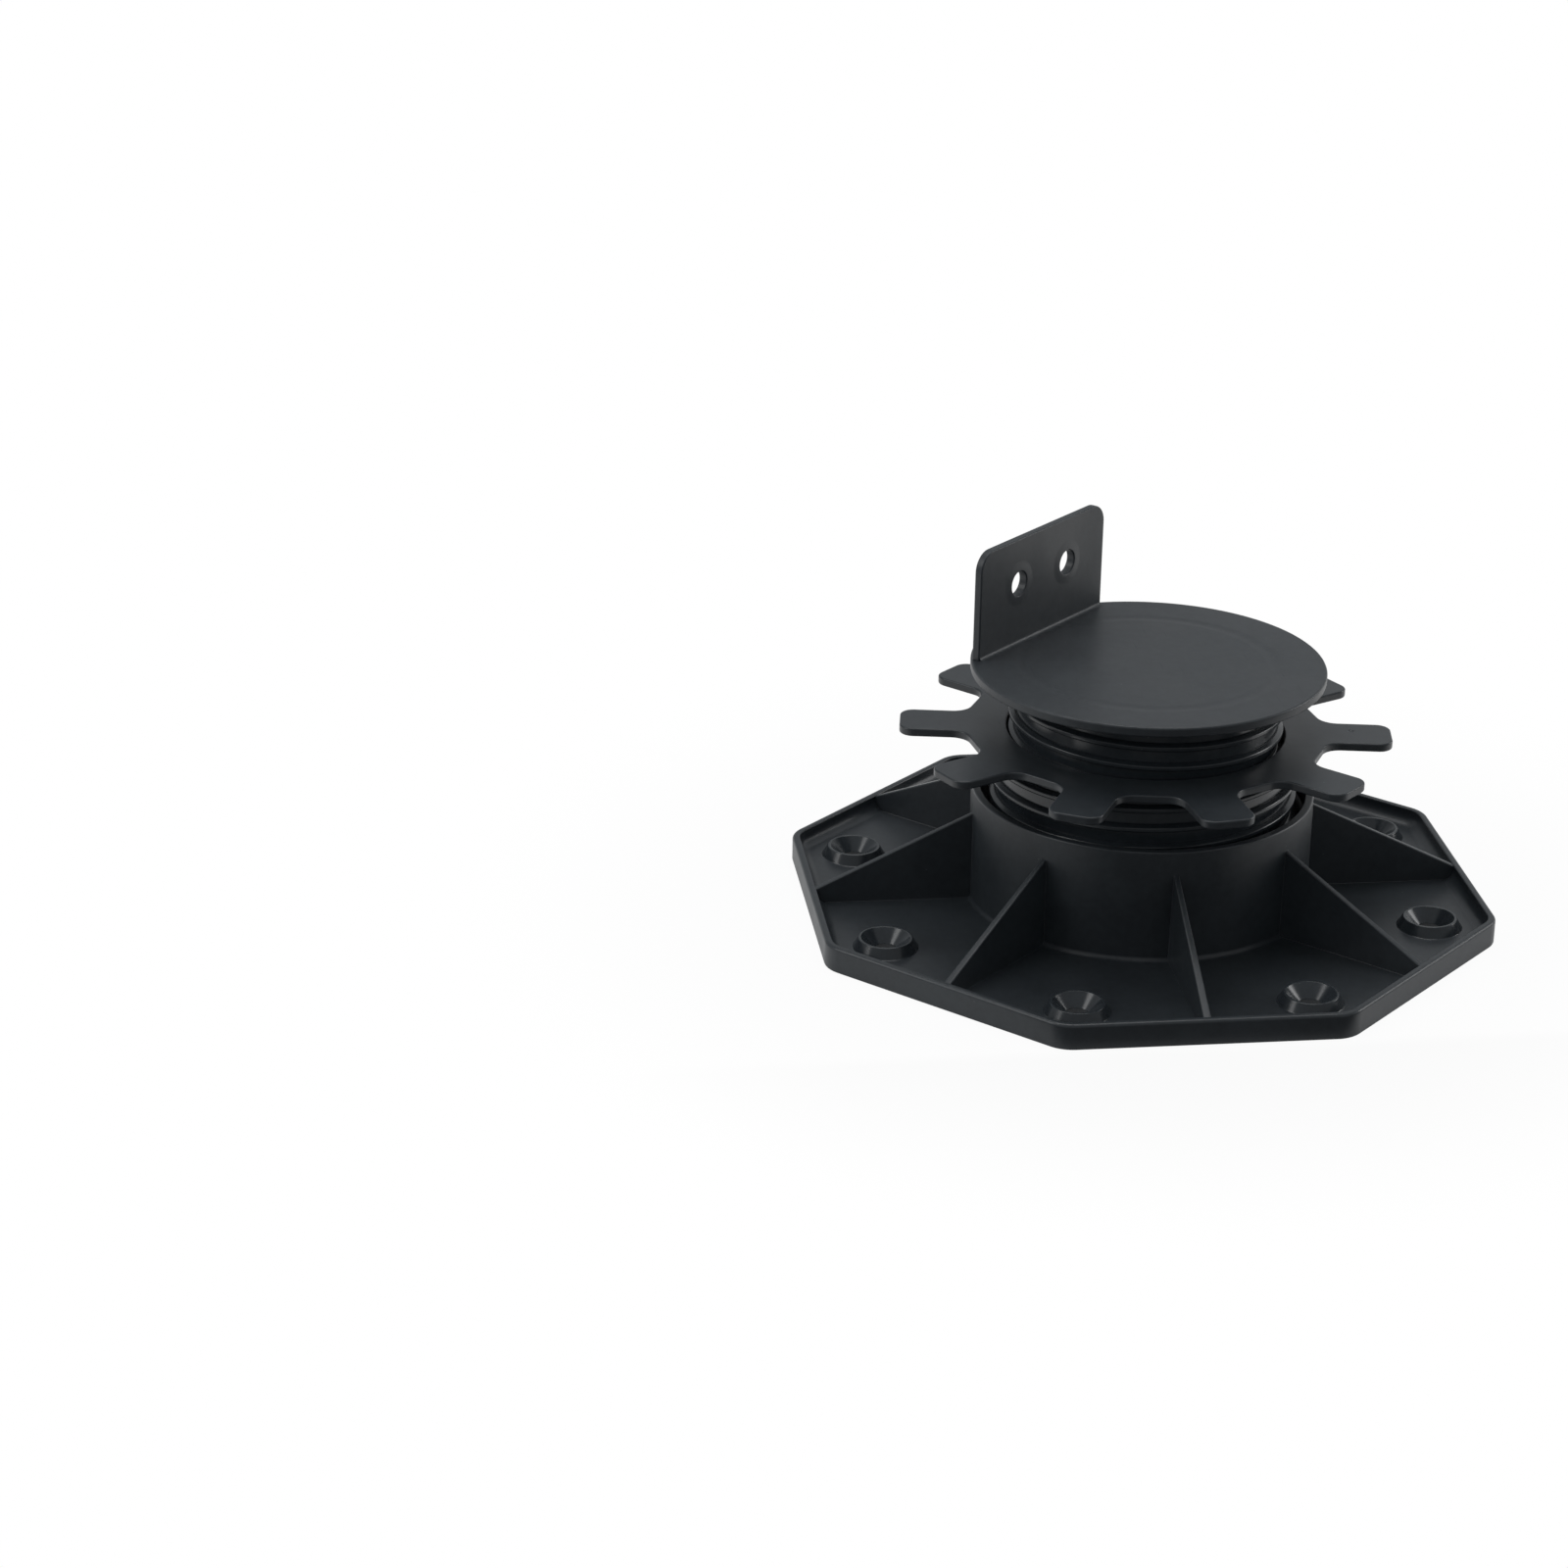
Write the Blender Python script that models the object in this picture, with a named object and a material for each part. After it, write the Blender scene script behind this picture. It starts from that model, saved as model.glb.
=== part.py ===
"""Decking pedestal of three moulded pieces: an octagonal base, a toothed adjusting ring and a tabbed head.

The ring's sleeve screws into the base's collar with a right-hand thread, and the head's stem screws into the
ring with a left-hand thread of the same pitch, so that turning the ring lifts or lowers both.
Lengths are in metres, +Z is up, and the origin is the centre of the base's underside.
"""
import math

import bmesh
import bpy
from mathutils import Matrix, Vector

# Threads: the same form on both pairs.  A sleeve or stem turns in a bore with this running clearance.
THREAD_PITCH = 0.0060
THREAD_DEPTH = 0.0018
THREAD_CREST_WIDTH = 0.0012
THREAD_FLANK_RUN = 0.0011
THREAD_CLEARANCE = 0.0004
SLEEVE_THREAD_START = math.radians(67.5)
STEM_THREAD_START = math.radians(-97.5)
RIGHT_HAND = 1
LEFT_HAND = -1

# Head: a round disc on a hollow stem, with an upright tab that a joist is screwed to
DISC_RADIUS = 0.0525
DISC_THICKNESS = 0.0030
DISC_EDGE_RADIUS = 0.0007
SINK_RING_WIDTH = 0.0060
SINK_RING_DEPTH = 0.0001
STEM_CREST_RADIUS = 0.0407
STEM_WALL = 0.0027
STEM_LENGTH = 0.0370
TAB_WIDTH = 0.0640
TAB_HEIGHT = 0.0330
TAB_THICKNESS = 0.0025
TAB_CORNER_RADIUS = 0.0060
TAB_EDGE_MARGIN = 0.0004
TAB_FOOT_RADIUS = 0.0013
TAB_HOLE_DIAMETER = 0.0075
TAB_HOLE_SPACING = 0.0250
TAB_HOLE_HEIGHT = 0.0190
HEAD_TURN = math.radians(135.0)

# Adjusting ring: a flat flange with fingers round it, on a sleeve that is threaded outside
SLEEVE_WALL = 0.0028
SLEEVE_LENGTH = 0.0350
BORE_LEAD_IN = 0.0005
FLANGE_THICKNESS = 0.0025
FLANGE_OVERHANG = 0.0028
FLANGE_EDGE_RADIUS = 0.0004
FINGER_COUNT = 10
FINGER_WIDTH = 0.0160
FINGER_LENGTH = 0.0195
FINGER_TIP_RADIUS = 0.0042
FINGER_ROOT_RADIUS = 0.0060
RING_TURN = math.radians(-10.0)

# Base: an octagonal tray with a rim, a threaded collar, ribs to the sides and a screw boss in each corner
BASE_SIDES = 8
BASE_ACROSS_FLATS = 0.2000
BASE_CORNER_RADIUS = 0.0100
FLOOR_THICKNESS = 0.0030
RIM_HEIGHT = 0.0078
RIM_THICKNESS = 0.0023
RIM_EDGE_RADIUS = 0.0010
RIM_FILLET = 0.0035
COLLAR_HEIGHT = 0.0375
COLLAR_WALL = 0.0049
COLLAR_LIP = 0.0025
COLLAR_MOUTH_DEPTH = 0.0060
COLLAR_EDGE_RADIUS = 0.0006
COLLAR_FOOT_WIDTH = 0.0013
COLLAR_FOOT_HEIGHT = 0.0018
RIB_TOP_DROP = 0.0073
RIB_RIM_DROP = 0.0003
RIB_TOP_THICKNESS = 0.0016
RIB_FOOT_THICKNESS = 0.0024
RIB_FOOT_FILLET = 0.0024
SCREW_CORNER_INSET = 0.0200
SCREW_HOLE_DIAMETER = 0.0070
SCREW_SEAT_DIAMETER = 0.0144
BOSS_FOOT_DIAMETER = 0.0192
BOSS_TOP_DIAMETER = 0.0158
BOSS_HEIGHT = 0.0031
BOSS_EDGE_RADIUS = 0.0003

# How far the ring and the head are screwed out, measured from where each would touch the piece below
RING_LIFT = 0.0160
HEAD_LIFT = 0.0175

# Sizes that follow from the ones above, from the stem outwards
STEM_ROOT_RADIUS = STEM_CREST_RADIUS - THREAD_DEPTH
STEM_BORE_RADIUS = STEM_ROOT_RADIUS - STEM_WALL
RING_BORE_RADIUS = STEM_CREST_RADIUS + THREAD_CLEARANCE
SLEEVE_ROOT_RADIUS = RING_BORE_RADIUS + SLEEVE_WALL
SLEEVE_CREST_RADIUS = SLEEVE_ROOT_RADIUS + THREAD_DEPTH
COLLAR_BORE_RADIUS = SLEEVE_CREST_RADIUS + THREAD_CLEARANCE
COLLAR_RADIUS = COLLAR_BORE_RADIUS + COLLAR_WALL
FLANGE_ROOT_RADIUS = COLLAR_RADIUS + FLANGE_OVERHANG
FINGER_TIP_REACH = FLANGE_ROOT_RADIUS + FINGER_LENGTH
BASE_APOTHEM = BASE_ACROSS_FLATS / 2
HALF_SIDE_ANGLE = math.pi / BASE_SIDES
SCREW_CIRCLE_RADIUS = BASE_APOTHEM / math.cos(HALF_SIDE_ANGLE) - SCREW_CORNER_INSET
TAB_OUTER_DISTANCE = math.sqrt((DISC_RADIUS - TAB_EDGE_MARGIN) ** 2 - (TAB_WIDTH / 2) ** 2)

# Facets and working allowances
ROUND_STEPS = 48
BOSS_STEPS = 20
HOLE_STEPS = 20
ARC_STEPS = 3
SMALL_ARC_STEPS = 2
RUNOUT_STEPS = 6
EMBED = 0.0008
OVERSHOOT = 0.0020
WELD_DISTANCE = 2e-6


def clear_objects():
    for item in list(bpy.data.objects):
        bpy.data.objects.remove(item, do_unlink=True)


def moulded_plastic(name, colour, roughness):
    material = bpy.data.materials.new(name)
    material.use_nodes = True
    shader = material.node_tree.nodes["Principled BSDF"]
    shader.inputs["Base Color"].default_value = (*colour, 1.0)
    shader.inputs["Roughness"].default_value = roughness
    shader.inputs["Metallic"].default_value = 0.0
    return material


def mesh_object(name, bm):
    """Close a bmesh into a new object with its faces pointing outwards."""
    bmesh.ops.remove_doubles(bm, verts=bm.verts, dist=WELD_DISTANCE)
    bmesh.ops.recalc_face_normals(bm, faces=bm.faces)
    mesh = bpy.data.meshes.new(name)
    bm.to_mesh(mesh)
    bm.free()
    item = bpy.data.objects.new(name, mesh)
    bpy.context.collection.objects.link(item)
    return item


def rounded(corners, steps=ARC_STEPS):
    """Closed outline through corners (x, y, radius), with a tangent arc of that radius at each corner."""
    points = []
    for index, (x, y, radius) in enumerate(corners):
        here = Vector((x, y))
        if radius == 0.0:
            points.append(here)
            continue
        back = (Vector(corners[index - 1][:2]) - here).normalized()
        ahead = (Vector(corners[(index + 1) % len(corners)][:2]) - here).normalized()
        half = back.angle(ahead) / 2
        centre = here + (back + ahead).normalized() * radius / math.sin(half)
        arm = here + back * radius / math.tan(half) - centre
        turn = math.copysign(math.pi - 2 * half, arm.y * back.x - arm.x * back.y)
        for step in range(steps + 1):
            points.append(centre + Matrix.Rotation(turn * step / steps, 2) @ arm)
    return points


def spun(profile, steps=ROUND_STEPS):
    """Surface of revolution about Z through points (radius, height).  A None leaves a gap, for a thread."""
    bm = bmesh.new()
    verts = [point and bm.verts.new((point[0], 0.0, point[1])) for point in profile]
    pairs = list(zip(verts, verts[1:]))
    if profile[0][0] > 0.0:
        pairs.append((verts[-1], verts[0]))
    edges = [bm.edges.new(pair) for pair in pairs if all(pair)]
    bmesh.ops.spin(bm, geom=list(bm.verts) + edges, cent=(0, 0, 0), axis=(0, 0, 1),
                   angle=2 * math.pi, steps=steps)
    return bm


def turned(name, profile, steps=ROUND_STEPS):
    """Solid of revolution about Z, whose profile may start and end on the axis."""
    return mesh_object(name, spun(profile, steps))


def lofted(name, loops):
    """Solid through loops (outline, height) of equally many points, with a flat face at each end."""
    bm = bmesh.new()
    rows = []
    for outline, height in loops:
        rows.append([bm.verts.new((point[0], point[1], height)) for point in outline])
    for lower, upper in zip(rows, rows[1:]):
        for index in range(len(lower)):
            bm.faces.new((lower[index - 1], lower[index], upper[index], upper[index - 1]))
    bm.faces.new(rows[0])
    bm.faces.new(rows[-1])
    return mesh_object(name, bm)


def edge_rounding(radius, steps=ARC_STEPS):
    """Pairs (inset, drop) along a quarter round, from a side wall up to the top face."""
    angles = [math.pi / 2 * step / steps for step in range(steps + 1)]
    return [(radius * (1 - math.cos(angle)), radius * (1 - math.sin(angle))) for angle in angles]


def ring_of_copies(name, source, count, radius, start):
    """One object that holds copies of a solid, spaced evenly on a circle and each turned with its place."""
    bm = bmesh.new()
    for index in range(count):
        angle = start + 2 * math.pi * index / count
        place = Matrix.Rotation(angle, 4, "Z") @ Matrix.Translation((radius, 0, 0))
        first = len(bm.verts)
        bm.from_mesh(source.data)
        bm.verts.ensure_lookup_table()
        bmesh.ops.transform(bm, matrix=place, verts=bm.verts[first:])
    bpy.data.objects.remove(source, do_unlink=True)
    return mesh_object(name, bm)


def combine(target, tool, operation):
    """Join a tool to the target, or cut it out, and keep the tool as a hidden wire shape."""
    modifier = target.modifiers.new(f"{operation.lower()} {tool.name}", "BOOLEAN")
    modifier.operation = operation
    modifier.solver = "EXACT"
    modifier.object = tool
    tool.hide_render = True
    tool.display_type = "WIRE"
    tool.parent = target


def add_threaded_wall(bm, root_radius, low, high, hand, start):
    """Outside wall between two heights with one helical ridge, which runs out to the root at both ends.

    The ridge climbs as a strip of sections, each of four points: foot, crest, crest, foot.  Where it starts
    and where it ends, the plain wall beside it is a fan that takes in the whole end section.
    """
    half_crest = THREAD_CREST_WIDTH / 2
    half_foot = half_crest + THREAD_FLANK_RUN
    turn = ROUND_STEPS
    count = int((high - low - 2 * half_foot) / THREAD_PITCH * turn) - 1

    def point(radius, step, height):
        angle = start + hand * 2 * math.pi * step / turn
        return bm.verts.new((radius * math.cos(angle), radius * math.sin(angle), height))

    sections = []
    for step in range(count + 1):
        middle = low + half_foot + THREAD_PITCH * (step + 0.5) / turn
        grown = min(1.0, step / RUNOUT_STEPS, (count - step) / RUNOUT_STEPS)
        crest = root_radius + THREAD_DEPTH * grown
        sections.append([
            point(root_radius, step, middle - half_foot), point(crest, step, middle - half_crest),
            point(crest, step, middle + half_crest), point(root_radius, step, middle + half_foot)])
    bottom = [point(root_radius, step, low) for step in range(turn)]
    top = [point(root_radius, step, high) for step in range(turn)]

    for here, ahead in zip(sections, sections[1:]):
        for index in range(3):
            bm.faces.new((here[index], ahead[index], ahead[index + 1], here[index + 1]))
    for step in range(count - turn):
        bm.faces.new((sections[step][3], sections[step + 1][3],
                      sections[step + turn + 1][0], sections[step + turn][0]))
    for step in range(turn - 1):
        bm.faces.new((bottom[step], bottom[step + 1], sections[step + 1][0], sections[step][0]))
    for step in range(count - turn + 1, count):
        bm.faces.new((sections[step][3], sections[step + 1][3], top[(step + 1) % turn], top[step % turn]))

    first_fan = [bottom[turn - 1], bottom[0], *sections[0], sections[turn][0]]
    for here, ahead in zip(first_fan, first_fan[1:]):
        bm.faces.new((sections[turn - 1][0], here, ahead))
    after = count - turn + 1
    last_fan = [sections[count - turn][3], *sections[count], top[count % turn], top[after % turn]]
    for here, ahead in zip(last_fan, last_fan[1:]):
        bm.faces.new((sections[after][3], here, ahead))


def octagon(apothem, corner_radius):
    """Plan outline of the tray, with flat sides square to X and Y."""
    reach = apothem / math.cos(HALF_SIDE_ANGLE)
    angles = [HALF_SIDE_ANGLE * (2 * index + 1) for index in range(BASE_SIDES)]
    return rounded([(reach * math.cos(angle), reach * math.sin(angle), corner_radius) for angle in angles])


def make_tray():
    """Floor and rim: the outline climbs the outer wall, crosses the rim and comes down a fillet to the floor."""
    def outline(inset):
        return octagon(BASE_APOTHEM - inset, max(BASE_CORNER_RADIUS - inset, RIM_EDGE_RADIUS))

    inner_edge = RIM_EDGE_RADIUS / 2
    loops = [(outline(inner_edge), 0.0), (outline(0.0), inner_edge)]
    for inset, drop in edge_rounding(RIM_EDGE_RADIUS):
        loops.append((outline(inset), RIM_HEIGHT - drop))
    for inset, drop in reversed(edge_rounding(inner_edge)):
        loops.append((outline(RIM_THICKNESS - inset), RIM_HEIGHT - drop))
    for inset, rise in edge_rounding(RIM_FILLET):
        loops.append((outline(RIM_THICKNESS + inset), FLOOR_THICKNESS + rise))
    return lofted("base", loops)


def make_collar():
    """Tube with a wider mouth at its top, where the sleeve enters, and a low step round its foot."""
    edge = COLLAR_EDGE_RADIUS
    foot = COLLAR_RADIUS + COLLAR_FOOT_WIDTH
    foot_top = FLOOR_THICKNESS + COLLAR_FOOT_HEIGHT
    mouth = COLLAR_RADIUS - COLLAR_LIP
    shoulder = COLLAR_HEIGHT - COLLAR_MOUTH_DEPTH
    inner = COLLAR_BORE_RADIUS
    return turned("collar wall", rounded([
        (inner, FLOOR_THICKNESS / 2, 0.0), (foot, FLOOR_THICKNESS / 2, 0.0), (foot, foot_top, edge / 2),
        (COLLAR_RADIUS, foot_top, edge), (COLLAR_RADIUS, COLLAR_HEIGHT, edge),
        (mouth, COLLAR_HEIGHT, edge / 2), (mouth, shoulder, 0.0),
        (inner, shoulder - (mouth - inner), 0.0)], SMALL_ARC_STEPS))


def make_rib():
    """Upright rib along +X: its top slopes straight from collar to rim and on into both, and its foot flares."""
    inner = COLLAR_RADIUS - COLLAR_WALL / 2
    rim_face = BASE_APOTHEM - RIM_THICKNESS
    outer = rim_face + RIM_THICKNESS / 3
    top = COLLAR_HEIGHT - RIB_TOP_DROP
    rim_top = RIM_HEIGHT - RIB_RIM_DROP
    slope = (top - rim_top) / (rim_face - COLLAR_RADIUS)
    taper = (RIB_FOOT_THICKNESS - RIB_TOP_THICKNESS) / 2 / (top - FLOOR_THICKNESS)

    def side(height):
        return RIB_FOOT_THICKNESS / 2 - taper * (height - FLOOR_THICKNESS)

    def section(distance):
        crest = rim_top + slope * (rim_face - distance)
        half = [(side(FLOOR_THICKNESS) + RIB_FOOT_FILLET, FLOOR_THICKNESS / 2)]
        for inset, rise in reversed(edge_rounding(RIB_FOOT_FILLET, SMALL_ARC_STEPS)):
            half.append((side(FLOOR_THICKNESS + rise) + inset, FLOOR_THICKNESS + rise - EMBED / 40))
        half.append((side(crest), crest))
        return half + [(-width, height) for width, height in reversed(half)]

    rib = lofted("rib", [(section(inner), inner), (section(outer), outer)])
    rib.data.transform(Matrix(((0, 0, 1, 0), (1, 0, 0, 0), (0, 1, 0, 0), (0, 0, 0, 1))))
    return rib


def make_boss():
    foot_height = FLOOR_THICKNESS / 2
    top = FLOOR_THICKNESS + BOSS_HEIGHT
    foot = BOSS_FOOT_DIAMETER / 2
    crown = BOSS_TOP_DIAMETER / 2
    outline = rounded([(0.0, top, 0.0), (0.0, foot_height, 0.0), (foot, foot_height, 0.0),
                       (foot, FLOOR_THICKNESS, 0.0), (crown, top, BOSS_EDGE_RADIUS)], SMALL_ARC_STEPS)
    return turned("boss", outline[1:] + outline[:1], BOSS_STEPS)


def make_screw_hole():
    """Plain hole with a countersunk seat for the screw's head."""
    top = FLOOR_THICKNESS + BOSS_HEIGHT
    hole = SCREW_HOLE_DIAMETER / 2
    seat = SCREW_SEAT_DIAMETER / 2
    return turned("screw hole", [
        (0.0, -OVERSHOOT), (hole, -OVERSHOOT), (hole, top - (seat - hole)), (seat, top),
        (seat + OVERSHOOT, top + OVERSHOOT), (0.0, top + OVERSHOOT)], HOLE_STEPS)


def make_base():
    base = make_tray()
    combine(base, make_collar(), "UNION")
    combine(base, ring_of_copies("ribs", make_rib(), BASE_SIDES, 0.0, 0.0), "UNION")
    bosses = ring_of_copies("bosses", make_boss(), BASE_SIDES, SCREW_CIRCLE_RADIUS, HALF_SIDE_ANGLE)
    combine(base, bosses, "UNION")
    above_floor = FLOOR_THICKNESS + EMBED
    combine(base, turned("collar bore", [
        (0.0, -OVERSHOOT), (COLLAR_BORE_RADIUS, -OVERSHOOT),
        (COLLAR_BORE_RADIUS, above_floor), (0.0, above_floor)]), "DIFFERENCE")
    hole = make_screw_hole()
    holes = ring_of_copies("screw holes", hole, BASE_SIDES, SCREW_CIRCLE_RADIUS, HALF_SIDE_ANGLE)
    combine(base, holes, "DIFFERENCE")
    return base


def flange_outline(inset):
    """Outline of the fingers, drawn in by an inset.  Tips and notches lie on circles about the axis."""
    half_width = FINGER_WIDTH / 2 - inset
    tip = FINGER_TIP_REACH - inset
    root = FLANGE_ROOT_RADIUS - inset
    tip_radius = FINGER_TIP_RADIUS - inset
    root_radius = FINGER_ROOT_RADIUS + inset
    step_angle = 2 * math.pi / FINGER_COUNT
    tip_angle = math.asin(half_width / tip)
    root_angle = math.asin(half_width / root)
    corners = []
    for index in range(FINGER_COUNT):
        middle = index * step_angle
        for reach, angle, radius in ((root, -root_angle, root_radius), (tip, -tip_angle, tip_radius),
                                     (tip, tip_angle, tip_radius), (root, root_angle, root_radius)):
            corners.append((reach * math.cos(middle + angle), reach * math.sin(middle + angle), radius))
    return rounded(corners)


def make_ring():
    edge = FLANGE_EDGE_RADIUS
    loops = [(flange_outline(edge), 0.0), (flange_outline(0.0), edge)]
    for inset, drop in edge_rounding(edge, SMALL_ARC_STEPS):
        loops.append((flange_outline(inset), FLANGE_THICKNESS - drop))
    ring = lofted("adjusting_ring", loops)
    bore = RING_BORE_RADIUS
    top = FLANGE_THICKNESS
    inner = bore - EMBED
    thread_low = -SLEEVE_LENGTH + edge
    thread_high = -edge
    wall_top = top / 2
    sleeve = spun([
        (SLEEVE_ROOT_RADIUS, thread_high), (SLEEVE_ROOT_RADIUS, wall_top), (inner, wall_top),
        (inner, -SLEEVE_LENGTH), (SLEEVE_ROOT_RADIUS - edge, -SLEEVE_LENGTH),
        (SLEEVE_ROOT_RADIUS, thread_low), None])
    add_threaded_wall(sleeve, SLEEVE_ROOT_RADIUS, thread_low, thread_high, RIGHT_HAND, SLEEVE_THREAD_START)
    combine(ring, mesh_object("sleeve", sleeve), "UNION")
    combine(ring, turned("ring bore", [
        (0.0, -SLEEVE_LENGTH - OVERSHOOT), (bore, -SLEEVE_LENGTH - OVERSHOOT), (bore, top - BORE_LEAD_IN),
        (bore + BORE_LEAD_IN + OVERSHOOT, top + OVERSHOOT), (0.0, top + OVERSHOOT)]), "DIFFERENCE")
    return ring


def make_tab():
    """Upright plate square to +X with rounded top corners, and the cove along its foot."""
    inner_face = TAB_OUTER_DISTANCE - TAB_THICKNESS
    half = TAB_WIDTH / 2
    foot = DISC_THICKNESS / 2
    top = DISC_THICKNESS + TAB_HEIGHT
    edge = DISC_EDGE_RADIUS / 2

    def outline(inset):
        radius = TAB_CORNER_RADIUS - inset
        side = half - inset
        crown = top - inset
        return rounded([(-side, foot, 0.0), (side, foot, 0.0),
                        (side, crown, radius), (-side, crown, radius)], 2 * ARC_STEPS)

    loops = [(outline(edge), 0.0), (outline(0.0), edge),
             (outline(0.0), TAB_THICKNESS - edge), (outline(edge), TAB_THICKNESS)]
    tab = lofted("tab", loops)
    upright = Matrix(((0, 0, 1, inner_face), (1, 0, 0, 0), (0, 1, 0, 0), (0, 0, 0, 1)))
    tab.data.transform(upright)

    cove = [(inner_face + EMBED, foot), (inner_face - TAB_FOOT_RADIUS, foot)]
    for step in range(ARC_STEPS + 1):
        angle = math.pi / 2 * step / ARC_STEPS
        cove.append((inner_face - TAB_FOOT_RADIUS * (1 - math.sin(angle)),
                     DISC_THICKNESS + TAB_FOOT_RADIUS * (1 - math.cos(angle))))
    cove.append((inner_face + EMBED, DISC_THICKNESS + TAB_FOOT_RADIUS))
    cove_half = half - TAB_FOOT_RADIUS
    strip = lofted("tab cove", [(cove, -cove_half), (cove, cove_half)])
    strip.data.transform(Matrix(((1, 0, 0, 0), (0, 0, 1, 0), (0, 1, 0, 0), (0, 0, 0, 1))))
    return tab, strip


def make_tab_holes():
    """Cutters for the two holes, with the mouth slightly eased on both faces."""
    radius = TAB_HOLE_DIAMETER / 2
    edge = DISC_EDGE_RADIUS / 2
    hole = turned("tab hole", [
        (0.0, -OVERSHOOT), (radius + edge + OVERSHOOT, -OVERSHOOT), (radius, edge),
        (radius, TAB_THICKNESS - edge), (radius + edge + OVERSHOOT, TAB_THICKNESS + OVERSHOOT),
        (0.0, TAB_THICKNESS + OVERSHOOT)], HOLE_STEPS)
    bm = bmesh.new()
    for side in (-1, 1):
        place = Matrix.Translation((TAB_OUTER_DISTANCE - TAB_THICKNESS, side * TAB_HOLE_SPACING / 2,
                                    DISC_THICKNESS + TAB_HOLE_HEIGHT))
        first = len(bm.verts)
        bm.from_mesh(hole.data)
        bm.verts.ensure_lookup_table()
        bmesh.ops.transform(bm, matrix=place @ Matrix.Rotation(math.pi / 2, 4, "Y"), verts=bm.verts[first:])
    bpy.data.objects.remove(hole, do_unlink=True)
    return mesh_object("tab holes", bm)


def make_head():
    """Disc and hollow stem in one, with a faint sunk ring on top where the stem's wall joins below."""
    top = DISC_THICKNESS
    sunk = top - SINK_RING_DEPTH
    sink_middle = STEM_ROOT_RADIUS - STEM_WALL / 2
    edge = DISC_EDGE_RADIUS
    thread_low = -STEM_LENGTH + edge
    thread_high = -edge
    below = rounded([
        (0.0, 0.0, 0.0), (STEM_BORE_RADIUS, 0.0, edge), (STEM_BORE_RADIUS, -STEM_LENGTH, edge / 2),
        (STEM_ROOT_RADIUS - edge, -STEM_LENGTH, 0.0), (STEM_ROOT_RADIUS, thread_low, 0.0)])
    above = rounded([
        (STEM_ROOT_RADIUS, thread_high, 0.0), (STEM_ROOT_RADIUS + edge, 0.0, 0.0),
        (DISC_RADIUS, 0.0, edge / 2), (DISC_RADIUS, top, edge),
        (sink_middle + SINK_RING_WIDTH / 2, top, 0.0), (sink_middle, sunk, 0.0),
        (sink_middle - SINK_RING_WIDTH / 2, top, 0.0), (0.0, top, 0.0)])
    body = spun([*below, None, *above])
    add_threaded_wall(body, STEM_ROOT_RADIUS, thread_low, thread_high, LEFT_HAND, STEM_THREAD_START)
    head = mesh_object("head", body)
    tab, cove = make_tab()
    combine(head, tab, "UNION")
    combine(head, cove, "UNION")
    combine(head, make_tab_holes(), "DIFFERENCE")
    return head


def finish(item, material):
    item.data.materials.append(material)
    item.data.shade_smooth()
    item.data.set_sharp_from_angle(angle=math.radians(30))


def main():
    clear_objects()
    base = make_base()
    ring = make_ring()
    head = make_head()

    ring.parent = base
    ring.location = (0, 0, COLLAR_HEIGHT + RING_LIFT)
    ring.rotation_euler = (0, 0, RING_TURN)
    head.parent = ring
    head.location = (0, 0, FLANGE_THICKNESS + HEAD_LIFT)
    head.rotation_euler = (0, 0, HEAD_TURN - RING_TURN)

    finish(base, moulded_plastic("black polypropylene, base", (0.017, 0.020, 0.022), 0.46))
    finish(ring, moulded_plastic("black polypropylene, adjusting ring", (0.018, 0.020, 0.023), 0.44))
    finish(head, moulded_plastic("black polypropylene, head", (0.026, 0.029, 0.031), 0.42))


main()
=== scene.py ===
"""Decking pedestal in black moulded polypropylene: octagonal base, toothed adjusting ring and tabbed head.

Each moulding is made whole at the size and place of its CAD solid, with the fillets, rounded edges and smooth
threads that the solid's facets leave out, and then stands for that solid.  Lengths are in metres, +Z is up.
"""
import math

import bmesh
import bpy
from mathutils import Matrix, Vector


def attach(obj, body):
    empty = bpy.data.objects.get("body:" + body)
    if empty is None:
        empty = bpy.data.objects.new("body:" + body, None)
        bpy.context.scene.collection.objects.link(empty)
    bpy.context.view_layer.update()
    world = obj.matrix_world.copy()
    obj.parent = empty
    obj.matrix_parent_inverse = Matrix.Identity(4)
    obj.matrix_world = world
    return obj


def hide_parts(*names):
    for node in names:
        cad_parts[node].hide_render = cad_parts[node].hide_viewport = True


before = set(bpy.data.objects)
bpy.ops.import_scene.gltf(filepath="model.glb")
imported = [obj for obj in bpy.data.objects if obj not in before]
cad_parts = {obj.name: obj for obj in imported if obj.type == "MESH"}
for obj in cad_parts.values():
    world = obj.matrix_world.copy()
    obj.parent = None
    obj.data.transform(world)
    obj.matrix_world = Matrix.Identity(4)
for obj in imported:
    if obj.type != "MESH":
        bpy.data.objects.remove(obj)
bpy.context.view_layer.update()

MM = 0.001

# Threads
THREAD_PITCH = 6.0 * MM
THREAD_DEPTH = 1.8 * MM
THREAD_CREST_WIDTH = 1.2 * MM
THREAD_FLANK_RUN = 1.1 * MM
THREAD_CREST_ROUNDING = 0.55 * MM
THREAD_RUNOUT_TURNS = 0.12
THREAD_SINK = 0.25 * MM
THREAD_END_GAP = 0.4 * MM
THREAD_CLEARANCE = 0.4 * MM
SLEEVE_THREAD_START = math.radians(67.5)
STEM_THREAD_START = math.radians(-97.5)

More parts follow.
